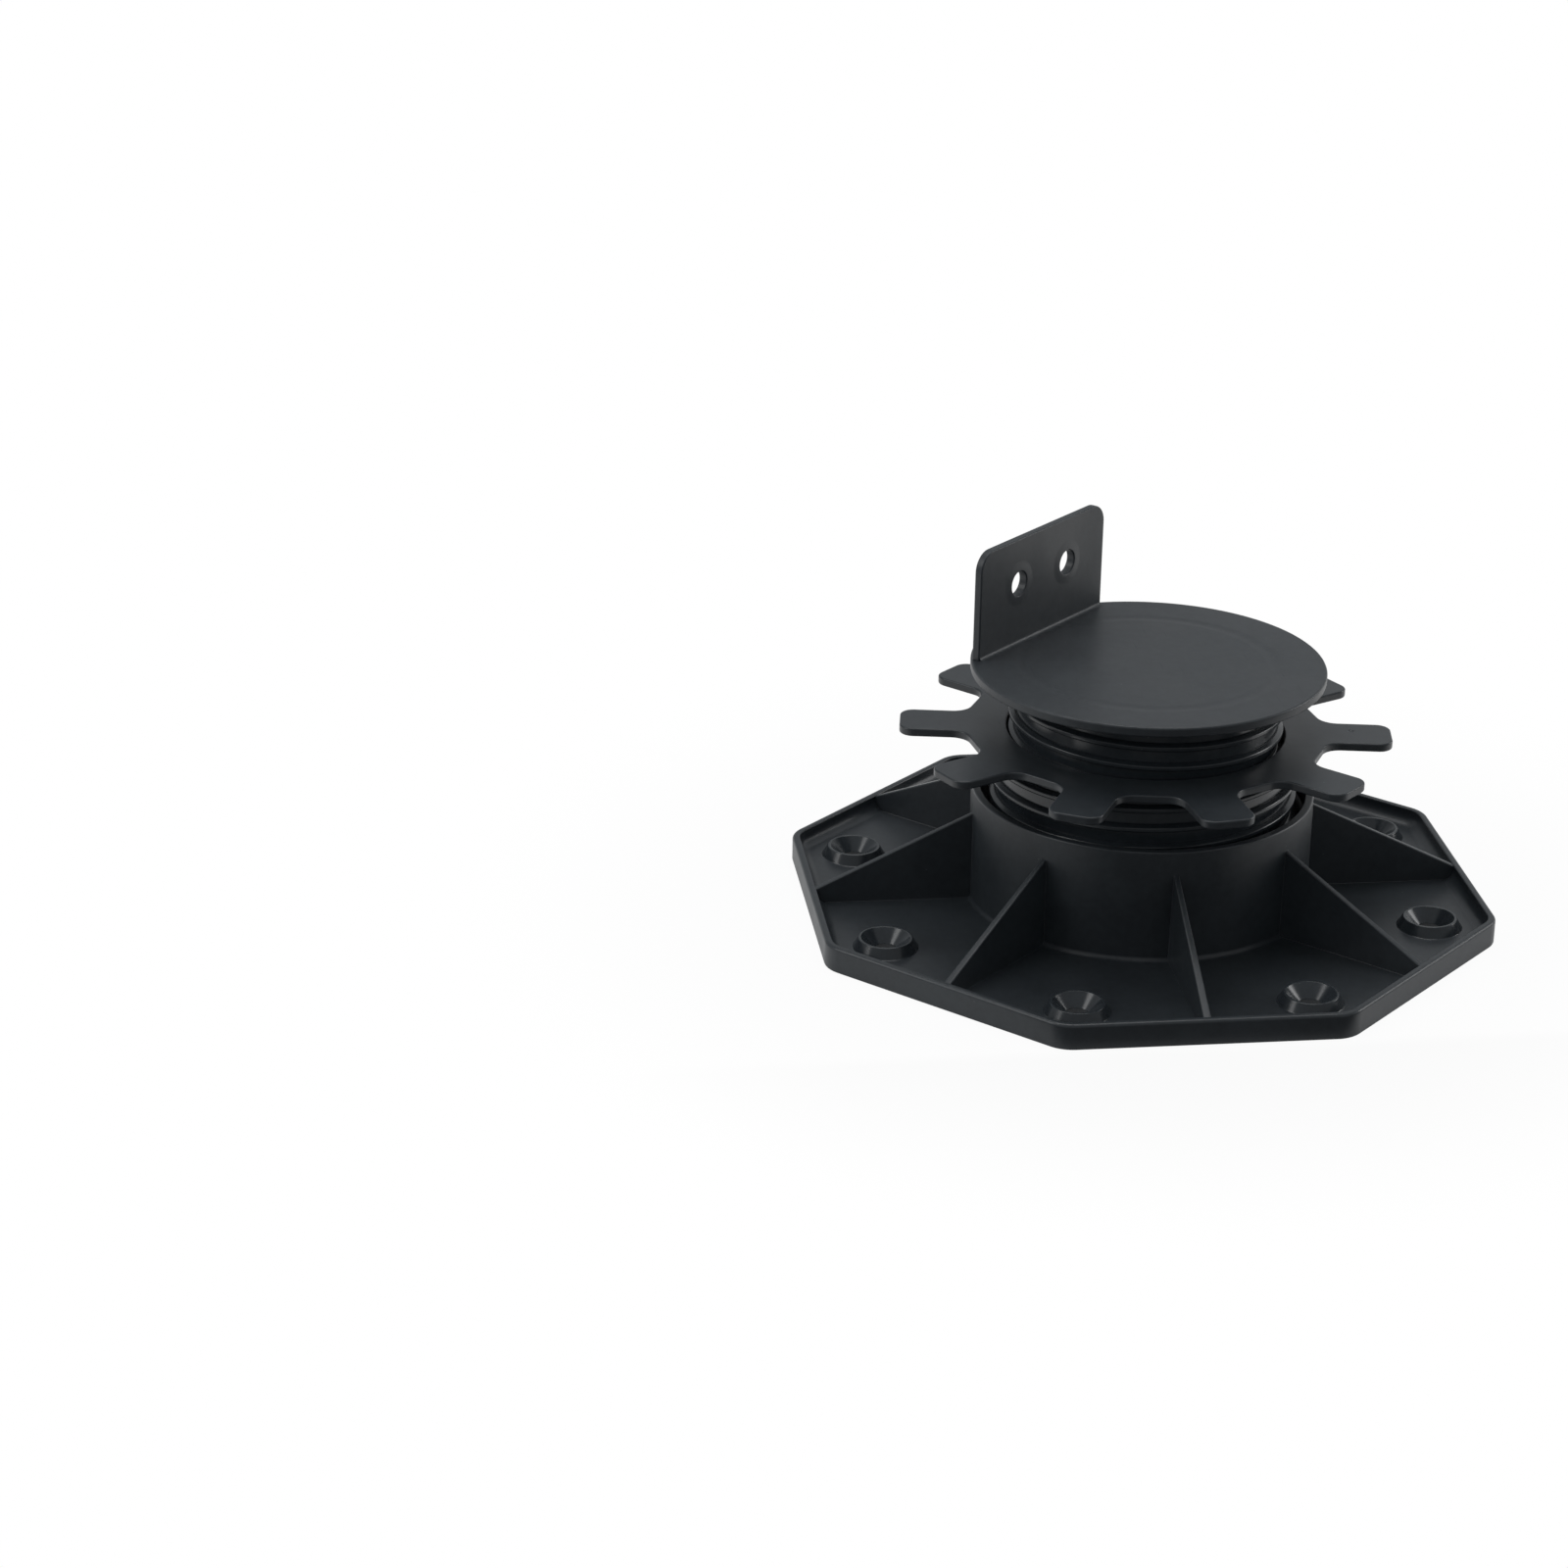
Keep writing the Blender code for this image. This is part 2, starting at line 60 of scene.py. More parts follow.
# Head
DISC_RADIUS = 52.5 * MM
DISC_THICKNESS = 3.0 * MM
DISC_EDGE_RADIUS = 0.7 * MM
DISC_GROUND = 73.5 * MM
SINK_RING_WIDTH = 6.0 * MM
SINK_RING_DEPTH = 0.1 * MM
STEM_CREST_RADIUS = 40.7 * MM
STEM_ROOT_RADIUS = STEM_CREST_RADIUS - THREAD_DEPTH
STEM_WALL = 2.7 * MM
STEM_BORE_RADIUS = STEM_ROOT_RADIUS - STEM_WALL
STEM_LENGTH = 37.0 * MM
TAB_WIDTH = 64.0 * MM
TAB_HEIGHT = 33.0 * MM
TAB_THICKNESS = 2.5 * MM
TAB_CORNER_RADIUS = 6.0 * MM
TAB_EDGE_RADIUS = 0.45 * MM
TAB_EDGE_MARGIN = 0.4 * MM
TAB_FOOT_RADIUS = 1.2 * MM
TAB_HOLE_RADIUS = 3.75 * MM
TAB_HOLE_SPACING = 25.0 * MM
TAB_HOLE_HEIGHT = 19.0 * MM
TAB_SWELL_RADIUS = 7.6 * MM
TAB_SWELL_HEIGHT = 0.2 * MM
TAB_OUTER_DISTANCE = math.sqrt((DISC_RADIUS - TAB_EDGE_MARGIN) ** 2 - (TAB_WIDTH / 2) ** 2)
HEAD_TURN = math.radians(135.0)

# Adjusting ring
RING_GROUND = 53.5 * MM
RING_BORE_RADIUS = STEM_CREST_RADIUS + THREAD_CLEARANCE
SLEEVE_ROOT_RADIUS = RING_BORE_RADIUS + 2.8 * MM
SLEEVE_CREST_RADIUS = SLEEVE_ROOT_RADIUS + THREAD_DEPTH
SLEEVE_LENGTH = 35.0 * MM
BORE_LEAD_IN = 0.5 * MM
FLANGE_THICKNESS = 2.5 * MM
FLANGE_EDGE_RADIUS = 0.5 * MM
FINGER_COUNT = 10
FINGER_WIDTH = 16.0 * MM
FINGER_LENGTH = 19.5 * MM
FINGER_TIP_RADIUS = 4.2 * MM
FINGER_ROOT_RADIUS = 6.0 * MM
RING_TURN = math.radians(-10.0)
GATE_MARK_RADIUS = 1.2 * MM
GATE_MARK_DEPTH = 0.35 * MM
GATE_MARK_REACH = 61.0 * MM
GATE_MARK_OFFSET = 2.0 * MM

# Base
BASE_SIDES = 8
BASE_APOTHEM = 100.0 * MM
BASE_CORNER_RADIUS = 10.0 * MM
FLOOR_THICKNESS = 3.0 * MM
RIM_HEIGHT = 7.8 * MM
RIM_THICKNESS = 2.3 * MM
RIM_OUTER_ROUNDING = 1.0 * MM
RIM_INNER_ROUNDING = 0.5 * MM
RIM_FILLET = 3.5 * MM
COLLAR_HEIGHT = 37.5 * MM
COLLAR_BORE_RADIUS = SLEEVE_CREST_RADIUS + THREAD_CLEARANCE
COLLAR_RADIUS = COLLAR_BORE_RADIUS + 4.9 * MM
FLANGE_ROOT_RADIUS = COLLAR_RADIUS + 2.8 * MM
FINGER_TIP_REACH = FLANGE_ROOT_RADIUS + FINGER_LENGTH
COLLAR_LIP = 2.5 * MM
COLLAR_MOUTH_DEPTH = 6.0 * MM
COLLAR_EDGE_RADIUS = 0.6 * MM
COLLAR_FOOT_FILLET = 1.5 * MM
RIB_TOP_DROP = 7.3 * MM
RIB_RIM_DROP = 0.3 * MM
RIB_TOP_THICKNESS = 1.6 * MM
RIB_FOOT_THICKNESS = 2.4 * MM
RIB_TOP_ROUNDING = 0.45 * MM
RIB_FILLET = 0.2 * MM
RIB_FOOT_FILLET = 0.2 * MM
HALF_SIDE_ANGLE = math.pi / BASE_SIDES
SCREW_CIRCLE_RADIUS = BASE_APOTHEM / math.cos(HALF_SIDE_ANGLE) - 20.0 * MM
SCREW_HOLE_RADIUS = 3.5 * MM
SCREW_SEAT_RADIUS = 7.2 * MM
BOSS_FOOT_RADIUS = 9.6 * MM
BOSS_TOP_RADIUS = 7.9 * MM
BOSS_HEIGHT = 3.1 * MM
BOSS_EDGE_RADIUS = 0.3 * MM
BOSS_FILLET = 0.5 * MM

# How finely round shapes are divided
ROUND_STEPS = 192
BOSS_STEPS = 64
ARC_STEPS = 6
EMBED = 0.8 * MM
OVERSHOOT = 2.0 * MM
TUCK = 0.02 * MM
WELD_DISTANCE = 2e-6

# How far apart the plastic's patterns repeat
FLOW_SPACING = 28 * MM
MOTTLE_SPACING = 2.5 * MM
GRAIN_SPACING = 0.5 * MM
DUST_SPACING = 9 * MM
SCUFF_SPACING = 0.9 * MM

# The studio: where the paper's shading begins and ends, from the object's axis, and where the room's level changes
FLOOR_HALF_SIZE = 6.0
# painted shade: where the paper's colour goes dark in front of the object, standing in for its shadow there
PAINTED_FRONT_SHADE = (-0.098, -0.106)
# near the object the camera sees the paper's own shading: the lamps' shadow and the painted front shade
NEAR_SHADOW = (0.10, 0.22)
# painted shadow: where the paper that reflections see goes from dark close to the object to white
PAINTED_SHADOW_IN_GLOSS = (0.11, 0.18)
ROOM_CHANGE = (-0.45, 0.25)

# Camera, measured from the photograph: focal length in widths of the square frame
FOCAL_LENGTH_IN_FRAMES = 4120.18 / 1600
CAMERA_PLACE = (-0.2479, -1.0907, 0.5009)
CAMERA_HEADING = (0.12741, 0.99185)
CAMERA_PITCH = math.radians(22.679)
CAMERA_ROLL = math.radians(0.929)
ROOM_LEVEL_BEHIND = 0.46
ROOM_LEVEL_IN_FRONT = 0.41
DUST = "#6E7274"


def mesh_object(name, bm):
    """Close a bmesh into a new object with its faces pointing outwards."""
    bmesh.ops.remove_doubles(bm, verts=bm.verts, dist=WELD_DISTANCE)
    bmesh.ops.recalc_face_normals(bm, faces=bm.faces)
    mesh = bpy.data.meshes.new(name)
    bm.to_mesh(mesh)
    bm.free()
    item = bpy.data.objects.new(name, mesh)
    bpy.context.scene.collection.objects.link(item)
    return item


def settle(item):
    """Turn an object and its modifiers into a plain mesh."""
    bpy.context.view_layer.update()
    graph = bpy.context.evaluated_depsgraph_get()
    mesh = bpy.data.meshes.new_from_object(item.evaluated_get(graph))
    item.modifiers.clear()
    item.data = mesh
    return item


def combine(target, tool, operation):
    """Mould a tool onto the target, or core it out."""
    modifier = target.modifiers.new(operation, "BOOLEAN")
    modifier.operation = operation
    modifier.solver = "EXACT"
    modifier.object = tool
    settle(target)
    bpy.data.objects.remove(tool, do_unlink=True)


def rounded(corners, steps=ARC_STEPS):
    """Outline through corners (x, y, radius), with a tangent arc of that radius at each corner."""
    points = []
    for index, (x, y, radius) in enumerate(corners):
        here = Vector((x, y))
        if radius == 0.0:
            points.append(here)
            continue
        back = (Vector(corners[index - 1][:2]) - here).normalized()
        ahead = (Vector(corners[(index + 1) % len(corners)][:2]) - here).normalized()
        half = back.angle(ahead) / 2
        centre = here + (back + ahead).normalized() * radius / math.sin(half)
        arm = here + back * radius / math.tan(half) - centre
        turn = math.copysign(math.pi - 2 * half, arm.y * back.x - arm.x * back.y)
        for step in range(steps + 1):
            points.append(centre + Matrix.Rotation(turn * step / steps, 2) @ arm)
    return points


def turned(name, profile, steps=ROUND_STEPS):
    """Solid of revolution about Z through points (radius, height), which may start and end on the axis."""
    bm = bmesh.new()
    verts = [bm.verts.new((radius, 0.0, height)) for radius, height in profile]
    pairs = list(zip(verts, verts[1:]))
    if profile[0][0] > 0.0:
        pairs.append((verts[-1], verts[0]))
    edges = [bm.edges.new(pair) for pair in pairs]
    bmesh.ops.spin(bm, geom=verts + edges, cent=(0, 0, 0), axis=(0, 0, 1), angle=2 * math.pi, steps=steps)
    return mesh_object(name, bm)


def lofted(name, loops):
    """Solid through closed loops of 3-D points, all with equally many points, closed by a face at each end."""
    bm = bmesh.new()
    rows = [[bm.verts.new(point) for point in loop] for loop in loops]
    for lower, upper in zip(rows, rows[1:]):
        for index in range(len(lower)):
            bm.faces.new((lower[index - 1], lower[index], upper[index], upper[index - 1]))
    bm.faces.new(rows[0])
    bm.faces.new(rows[-1])
    return mesh_object(name, bm)


def level(outline, height):
    return [(point[0], point[1], height) for point in outline]


def quarter_round(radius, steps=ARC_STEPS):
    """Pairs (inset, drop) along a quarter round, from a side wall up to the top face."""
    angles = [math.pi / 2 * step / steps for step in range(steps + 1)]
    return [(radius * (1 - math.cos(angle)), radius * (1 - math.sin(angle))) for angle in angles]


def add_node(tree, kind, links=None, **settings):
    """Add a node; links maps each input's name or number to a value or to another node's output."""
    made = tree.nodes.new(kind)
    for name, value in settings.items():
        setattr(made, name, value)
    for name, value in (links or {}).items():
        if isinstance(value, bpy.types.NodeSocket):
            tree.links.new(value, made.inputs[name])
        else:
            made.inputs[name].default_value = value
    return made


def linear(hex_colour):
    """sRGB hex colour as linear RGBA."""
    parts = [int(hex_colour[place:place + 2], 16) / 255 for place in (1, 3, 5)]
    return (*[part / 12.92 if part <= 0.04045 else ((part + 0.055) / 1.055) ** 2.4 for part in parts], 1.0)


def round_the_axis():
    """Geometry Nodes: copies of a feature, evenly round the vertical axis at a radius."""
    tree = bpy.data.node_groups.new("features round the axis", "GeometryNodeTree")
    socket = tree.interface.new_socket
    socket("Feature", in_out="INPUT", socket_type="NodeSocketGeometry")
    socket("Count", in_out="INPUT", socket_type="NodeSocketInt")
    socket("Circle radius", in_out="INPUT", socket_type="NodeSocketFloat")
    socket("First angle", in_out="INPUT", socket_type="NodeSocketFloat")
    socket("Finish", in_out="INPUT", socket_type="NodeSocketMaterial")
    socket("Moulded features", in_out="OUTPUT", socket_type="NodeSocketGeometry")
    given = add_node(tree, "NodeGroupInput").outputs
    offset = add_node(tree, "ShaderNodeCombineXYZ", {"X": given["Circle radius"]}).outputs[0]
    moved = add_node(tree, "GeometryNodeTransform", {"Geometry": given["Feature"], "Translation": offset})
    points = add_node(tree, "GeometryNodePoints", {"Count": given["Count"]})
    index = add_node(tree, "GeometryNodeInputIndex").outputs[0]
    step = add_node(tree, "ShaderNodeMath", {0: math.tau, 1: given["Count"]}, operation="DIVIDE").outputs[0]
    angle = add_node(tree, "ShaderNodeMath", {0: index, 1: step, 2: given["First angle"]},
                     operation="MULTIPLY_ADD").outputs[0]
    euler = add_node(tree, "ShaderNodeCombineXYZ", {"Z": angle}).outputs[0]
    turn = add_node(tree, "FunctionNodeEulerToRotation", {0: euler}).outputs[0]
    copies = add_node(tree, "GeometryNodeInstanceOnPoints", {
        "Points": points.outputs[0], "Instance": moved.outputs[0], "Rotation": turn})
    real = add_node(tree, "GeometryNodeRealizeInstances", {"Geometry": copies.outputs[0]})
    finished = add_node(tree, "GeometryNodeSetMaterial", {
        "Geometry": real.outputs[0], "Material": given["Finish"]})
    add_node(tree, "NodeGroupOutput", {0: finished.outputs[0]})
    return tree


def screw_thread():
    """Geometry Nodes: one rounded ridge swept up a helix, dying into the wall at both ends."""
    tree = bpy.data.node_groups.new("screw thread", "GeometryNodeTree")
    socket = tree.interface.new_socket
    for name in ("Wall radius", "Pitch", "Turns", "Depth", "Sink", "Foot width", "Crest width", "Rounding",
                 "Run-out"):
        socket(name, in_out="INPUT", socket_type="NodeSocketFloat")
    socket("Right hand", in_out="INPUT", socket_type="NodeSocketBool")
    socket("Finish", in_out="INPUT", socket_type="NodeSocketMaterial")
    socket("Ridge", in_out="OUTPUT", socket_type="NodeSocketGeometry")
    given = add_node(tree, "NodeGroupInput").outputs
    rise = add_node(tree, "ShaderNodeMath", {0: given["Pitch"], 1: given["Turns"]}, operation="MULTIPLY")
    helix = add_node(tree, "GeometryNodeCurveSpiral", {
        "Resolution": ROUND_STEPS, "Rotations": given["Turns"], "Start Radius": given["Wall radius"],
        "End Radius": given["Wall radius"], "Height": rise.outputs[0], "Reverse": given["Right hand"]})
    upright = add_node(tree, "GeometryNodeSetCurveNormal", {"Curve": helix.outputs[0]}, mode="Z_UP")

    tall = add_node(tree, "ShaderNodeMath", {0: given["Depth"], 1: given["Sink"]}, operation="ADD")
    form = add_node(tree, "GeometryNodeCurvePrimitiveQuadrilateral", mode="TRAPEZOID")
    for name, value in (("Height", tall.outputs[0]), ("Bottom Width", given["Foot width"]),
                        ("Top Width", given["Crest width"])):
        tree.links.new(value, form.inputs[name])
    form.inputs["Offset"].default_value = 0.0
    eased = add_node(tree, "GeometryNodeFilletCurve", {
        "Curve": form.outputs[0], "Radius": given["Rounding"], "Limit Radius": True, "Count": 4}, mode="POLY")
    halfway = add_node(tree, "ShaderNodeMath", {0: tall.outputs[0], 1: 0.5}, operation="MULTIPLY")
    lift = add_node(tree, "ShaderNodeMath", {0: halfway.outputs[0], 1: given["Sink"]}, operation="SUBTRACT")
    foot = add_node(tree, "ShaderNodeCombineXYZ", {"Y": lift.outputs[0]})
    lifted = add_node(tree, "GeometryNodeTransform", {"Geometry": eased.outputs[0],
                                                      "Translation": foot.outputs[0]})
    side = add_node(tree, "GeometryNodeSwitch", {
        "Switch": given["Right hand"], "False": math.pi / 2, "True": -math.pi / 2}, input_type="FLOAT")
    facing = add_node(tree, "ShaderNodeCombineXYZ", {"Z": side.outputs[0]})
    turn = add_node(tree, "FunctionNodeEulerToRotation", {0: facing.outputs[0]})
    profile = add_node(tree, "GeometryNodeTransform", {"Geometry": lifted.outputs[0],
                                                       "Rotation": turn.outputs[0]})

    along = add_node(tree, "GeometryNodeSplineParameter").outputs["Factor"]
    wound = add_node(tree, "ShaderNodeMath", {0: along, 1: given["Turns"]}, operation="MULTIPLY").outputs[0]
    left = add_node(tree, "ShaderNodeMath", {0: given["Turns"], 1: wound}, operation="SUBTRACT").outputs[0]
    nearest = add_node(tree, "ShaderNodeMath", {0: wound, 1: left}, operation="MINIMUM").outputs[0]
    grown = add_node(tree, "ShaderNodeMapRange", {
        "Value": nearest, "From Min": 0.0, "From Max": given["Run-out"], "To Min": 0.02, "To Max": 1.0},
        interpolation_type="SMOOTHSTEP")
    ridge = add_node(tree, "GeometryNodeCurveToMesh", {
        "Curve": upright.outputs[0], "Profile Curve": profile.outputs[0], "Scale": grown.outputs[0],
        "Fill Caps": True})
    real = add_node(tree, "GeometryNodeRealizeInstances", {"Geometry": ridge.outputs[0]})
    finished = add_node(tree, "GeometryNodeSetMaterial", {
        "Geometry": real.outputs[0], "Material": given["Finish"]})
    add_node(tree, "NodeGroupOutput", {0: finished.outputs[0]})
    return tree


def grow(item, tree, values):
    """Give an object's mesh to a node tree, with values by input name, and keep the result as a plain mesh."""
    modifier = item.modifiers.new(tree.name, "NODES")
    modifier.node_group = tree
    for socket in tree.interface.items_tree:
        if socket.in_out == "INPUT" and socket.name in values:
            modifier[socket.identifier] = values[socket.name]
    return settle(item)


def repeat(feature, count, radius, first_angle, finish):
    """A feature repeated round the axis."""
    return grow(feature, AROUND, {
        "Count": count, "Circle radius": radius, "First angle": first_angle, "Finish": finish})


def make_thread(name, wall_radius, low, high, right_hand, start, finish):
    """The ridge of a thread between two heights of a wall, starting at an angle."""
    foot = THREAD_CREST_WIDTH + 2 * THREAD_FLANK_RUN
    ridge = grow(mesh_object(name, bmesh.new()), SCREW_THREAD, {
        "Wall radius": wall_radius, "Pitch": THREAD_PITCH, "Turns": (high - low - foot) / THREAD_PITCH,
        "Depth": THREAD_DEPTH, "Sink": THREAD_SINK, "Foot width": foot, "Crest width": THREAD_CREST_WIDTH,
        "Rounding": THREAD_CREST_ROUNDING, "Run-out": THREAD_RUNOUT_TURNS, "Right hand": right_hand,
        "Finish": finish})
    bm = bmesh.new()
    bm.from_mesh(ridge.data)
    bmesh.ops.transform(bm, matrix=Matrix.Translation((0, 0, low + foot / 2)) @ Matrix.Rotation(start, 4, "Z"),
                        verts=bm.verts)
    bmesh.ops.recalc_face_normals(bm, faces=bm.faces)
    bm.to_mesh(ridge.data)
    bm.free()
    return ridge


def octagon(apothem, corner_radius, height):
    """Plan outline of the tray at a height, with flat sides square to X and Y."""
    reach = apothem / math.cos(HALF_SIDE_ANGLE)
    angles = [HALF_SIDE_ANGLE * (2 * index + 1) for index in range(BASE_SIDES)]
    corners = [(reach * math.cos(angle), reach * math.sin(angle), corner_radius) for angle in angles]
    return level(rounded(corners, 2 * ARC_STEPS), height)


def make_tray():
    """Floor and rim: the outline climbs the outer wall, crosses the rim and comes down a fillet to the floor."""
    def outline(inset, height):
        return octagon(BASE_APOTHEM - inset, BASE_CORNER_RADIUS - inset, height)

    loops = [outline(RIM_INNER_ROUNDING, 0.0), outline(RIM_INNER_ROUNDING * 0.3, RIM_INNER_ROUNDING * 0.3),
             outline(0.0, RIM_INNER_ROUNDING)]
    for inset, drop in quarter_round(RIM_OUTER_ROUNDING):
        loops.append(outline(inset, RIM_HEIGHT - drop))
    for inset, drop in reversed(quarter_round(RIM_INNER_ROUNDING)):
        loops.append(outline(RIM_THICKNESS - inset, RIM_HEIGHT - drop))
    for inset, rise in quarter_round(RIM_FILLET):
        loops.append(outline(RIM_THICKNESS + inset, FLOOR_THICKNESS + rise))
    return lofted("base_moulding", loops)


def make_collar():
    """Tube with a wider mouth at its top, where the sleeve enters, and a fillet round its foot."""
    skirt = COLLAR_RADIUS + 2 * COLLAR_FOOT_FILLET
    mouth = COLLAR_RADIUS - COLLAR_LIP
    shoulder = COLLAR_HEIGHT - COLLAR_MOUTH_DEPTH
    edge = COLLAR_EDGE_RADIUS
    return turned("collar", rounded([
        (COLLAR_BORE_RADIUS, FLOOR_THICKNESS / 2, 0.0), (skirt, FLOOR_THICKNESS / 2, 0.0),
        (skirt, FLOOR_THICKNESS - TUCK, 0.0), (COLLAR_RADIUS, FLOOR_THICKNESS - TUCK, COLLAR_FOOT_FILLET),
        (COLLAR_RADIUS, COLLAR_HEIGHT, edge), (mouth, COLLAR_HEIGHT, edge), (mouth, shoulder, edge),
        (COLLAR_BORE_RADIUS, shoulder - (mouth - COLLAR_BORE_RADIUS), edge)]))


def make_rib():
    """Upright rib along +X: its top slopes to the rim, and its foot and ends flare into the walls."""
    rim_face = BASE_APOTHEM - RIM_THICKNESS
    high = COLLAR_HEIGHT - RIB_TOP_DROP
    low = RIM_HEIGHT - RIB_RIM_DROP
    slope = (high - low) / (rim_face - COLLAR_RADIUS)
    taper = (RIB_FOOT_THICKNESS - RIB_TOP_THICKNESS) / 2 / (high - FLOOR_THICKNESS)

    def section(distance, flare):
        def side(height):
            return RIB_TOP_THICKNESS / 2 + taper * (high - height) + flare

        top = low + slope * max(rim_face - distance, 0.0)
        half = [(side(FLOOR_THICKNESS) + RIB_FOOT_FILLET, FLOOR_THICKNESS - EMBED)]
        for inset, rise in reversed(quarter_round(RIB_FOOT_FILLET)):
            height = FLOOR_THICKNESS + rise - TUCK
            half.append((side(height) + inset, height))
        for inset, drop in quarter_round(RIB_TOP_ROUNDING):
            half.append((side(top) - inset, top - drop))
        return ([(distance, width, height) for width, height in half]
                + [(distance, -width, height) for width, height in reversed(half)])

    loops = [section(COLLAR_RADIUS - EMBED, RIB_FILLET)]
    for inset, flare in quarter_round(RIB_FILLET):
        loops.append(section(COLLAR_RADIUS - TUCK + inset, flare))
    loops += [section(rim_face + TUCK - inset, flare) for inset, flare in reversed(quarter_round(RIB_FILLET))]
    loops.append(section(rim_face + EMBED, RIB_FILLET))
    return lofted("ribs", loops)


def make_boss():
    """Truncated cone whose foot flares into the floor."""
    top = FLOOR_THICKNESS + BOSS_HEIGHT
    buried = FLOOR_THICKNESS - EMBED
    skirt = BOSS_FOOT_RADIUS + 2 * BOSS_FILLET
    outline = rounded([
        (0.0, buried, 0.0), (skirt, buried, 0.0), (skirt, FLOOR_THICKNESS - TUCK, 0.0),
        (BOSS_FOOT_RADIUS, FLOOR_THICKNESS - TUCK, BOSS_FILLET), (BOSS_TOP_RADIUS, top, BOSS_EDGE_RADIUS),
        (0.0, top, 0.0)])
    return turned("bosses", outline, BOSS_STEPS)


def make_screw_hole():
    """Core for one hole: plain below, countersunk above, its mouth eased."""
    top = FLOOR_THICKNESS + BOSS_HEIGHT
    hole = SCREW_HOLE_RADIUS
    seat = SCREW_SEAT_RADIUS
    outline = rounded([
        (0.0, -OVERSHOOT, 0.0), (hole + OVERSHOOT, -OVERSHOOT, 0.0), (hole, 0.0, 0.0),
        (hole, top - (seat - hole), BOSS_EDGE_RADIUS), (seat, top + TUCK, BOSS_EDGE_RADIUS),
        (seat + OVERSHOOT, top + TUCK, 0.0), (seat + OVERSHOOT, top + OVERSHOOT, 0.0),
        (0.0, top + OVERSHOOT, 0.0)])
    return turned("screw holes", outline, BOSS_STEPS)


def plain(item, finish):
    """Give every face of a moulding one finish."""
    item.data.materials.clear()
    item.data.materials.append(finish)
    for face in item.data.polygons:
        face.material_index = 0
    return item


def make_base(finish):
    base = make_tray()
    combine(base, make_collar(), "UNION")
    combine(base, repeat(make_rib(), BASE_SIDES, 0.0, 0.0, finish), "UNION")
    combine(base, repeat(make_boss(), BASE_SIDES, SCREW_CIRCLE_RADIUS, HALF_SIDE_ANGLE, finish), "UNION")
    above_floor = FLOOR_THICKNESS + EMBED
    combine(base, turned("bore core", [
        (0.0, -OVERSHOOT), (COLLAR_BORE_RADIUS + OVERSHOOT, -OVERSHOOT), (COLLAR_BORE_RADIUS, 0.0),
        (COLLAR_BORE_RADIUS, above_floor), (0.0, above_floor)]), "DIFFERENCE")
    holes = repeat(make_screw_hole(), BASE_SIDES, SCREW_CIRCLE_RADIUS, HALF_SIDE_ANGLE, finish)
    combine(base, holes, "DIFFERENCE")
    return plain(base, finish)


def flange_outline(inset, height):
    """Outline of the fingers, drawn in by an inset.  Tips and notches lie on circles about the axis."""
    half_width = FINGER_WIDTH / 2 - inset
    tip = FINGER_TIP_REACH - inset
    root = FLANGE_ROOT_RADIUS - inset
    tip_angle = math.asin(half_width / tip)
    root_angle = math.asin(half_width / root)
    corners = []
    for index in range(FINGER_COUNT):
        middle = index * math.tau / FINGER_COUNT
        for reach, angle, radius in (
                (root, -root_angle, FINGER_ROOT_RADIUS + inset), (tip, -tip_angle, FINGER_TIP_RADIUS - inset),
                (tip, tip_angle, FINGER_TIP_RADIUS - inset), (root, root_angle, FINGER_ROOT_RADIUS + inset)):
            corners.append((reach * math.cos(middle + angle), reach * math.sin(middle + angle), radius))
    return level(rounded(corners, 2 * ARC_STEPS), height)


def make_ring(finish):
    edge = FLANGE_EDGE_RADIUS
    loops = [flange_outline(inset, drop) for inset, drop in reversed(quarter_round(edge))]
    loops += [flange_outline(inset, FLANGE_THICKNESS - drop) for inset, drop in quarter_round(edge)]
    ring = lofted("adjusting_ring_moulding", loops)
    bore = RING_BORE_RADIUS
    top = FLANGE_THICKNESS
    sleeve = rounded([
        (SLEEVE_ROOT_RADIUS, -SLEEVE_LENGTH, edge), (SLEEVE_ROOT_RADIUS, 0.0, edge),
        (SLEEVE_ROOT_RADIUS + 2 * edge, 0.0, 0.0), (SLEEVE_ROOT_RADIUS + 2 * edge, top / 2, 0.0),
        (bore - EMBED, top / 2, 0.0), (bore - EMBED, -SLEEVE_LENGTH, 0.0)])
    combine(ring, turned("sleeve", sleeve), "UNION")
    core = rounded([
        (0.0, -SLEEVE_LENGTH - OVERSHOOT, 0.0), (bore + OVERSHOOT, -SLEEVE_LENGTH - OVERSHOOT, 0.0),
        (bore, -SLEEVE_LENGTH, 0.0), (bore, top - BORE_LEAD_IN, edge), (bore + BORE_LEAD_IN, top + TUCK, edge),
        (bore + BORE_LEAD_IN + OVERSHOOT, top + TUCK, 0.0),
        (bore + BORE_LEAD_IN + OVERSHOOT, top + OVERSHOOT, 0.0),
        (0.0, top + OVERSHOOT, 0.0)])
    combine(ring, turned("ring core", core), "DIFFERENCE")
    thread = make_thread("sleeve thread", SLEEVE_ROOT_RADIUS, -SLEEVE_LENGTH + THREAD_END_GAP, -THREAD_END_GAP,
                         True, SLEEVE_THREAD_START, finish)
    combine(ring, thread, "UNION")
    mark = make_dimple("gate mark", GATE_MARK_RADIUS, GATE_MARK_DEPTH)
    mark.data.transform(Matrix.Translation((GATE_MARK_REACH, GATE_MARK_OFFSET, FLANGE_THICKNESS)))
    combine(ring, mark, "DIFFERENCE")
    return plain(ring, finish)


def make_dimple(name, radius, depth):
    """Core for a shallow round dimple below the XY plane."""
    share = [step / ARC_STEPS for step in range(ARC_STEPS)]
    hollow = [(radius * part, -depth * (1 + math.cos(math.pi * part)) / 2) for part in share]
    return turned(name, hollow + [(radius, TUCK), (radius, OVERSHOOT), (0.0, OVERSHOOT)], BOSS_STEPS)


